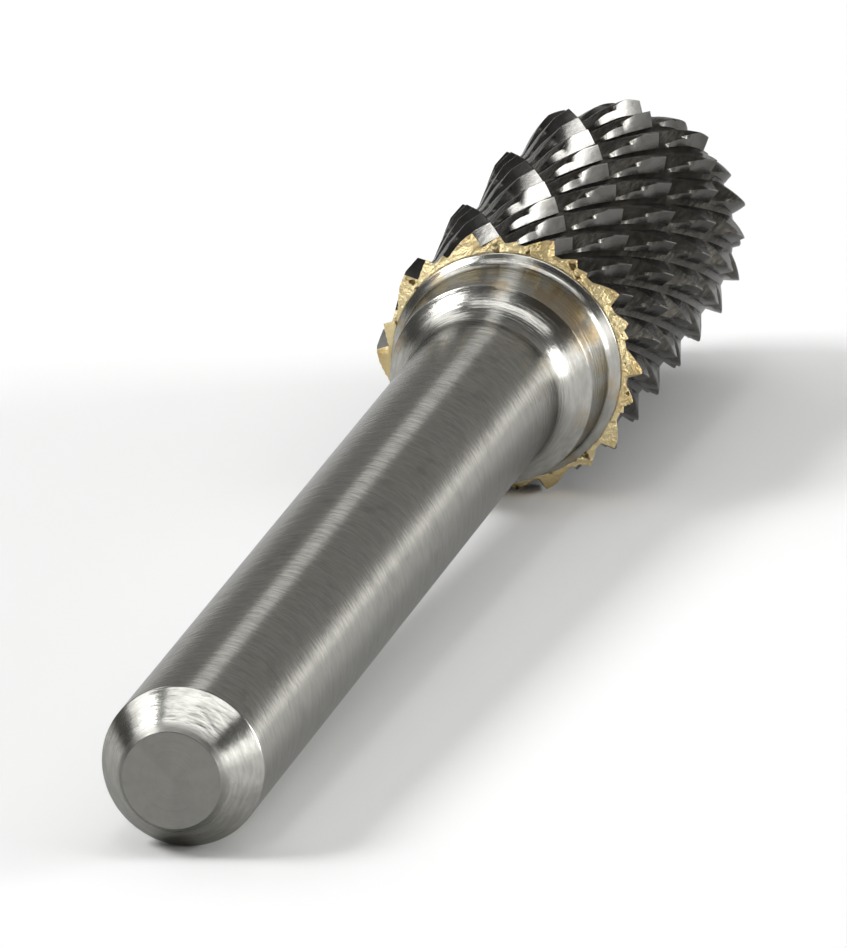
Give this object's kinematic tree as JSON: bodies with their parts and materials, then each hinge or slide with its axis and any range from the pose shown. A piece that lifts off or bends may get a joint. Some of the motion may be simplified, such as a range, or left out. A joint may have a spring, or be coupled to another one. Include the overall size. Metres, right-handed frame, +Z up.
{
  "type": "carbide burr",
  "caption": "Rotary cutting burr: ground steel shank with a flared collar, a brazed joint and a double-cut ball-nosed cylindrical carbide head.",
  "frame": {"origin": "centre of the object's box, on the surface that the tool lies on", "axes": "+X towards the nose of the cutting head, +Z up; the tool's own axis lies in the XZ plane and rises 2.36 degrees towards the nose"},
  "size_m": [0.082, 0.0112, 0.0118],
  "materials": {
    "steel": "cylindrically ground, with fine lay marks round the axis",
    "braze": "rough brazing alloy, ground through by the flutes",
    "carbide": "ground tungsten carbide, semi-gloss"
  },
  "bodies": {
    "root": {"shank": "steel", "braze_joint": "braze", "carbide_head": "carbide"}
  },
  "joints": []
}
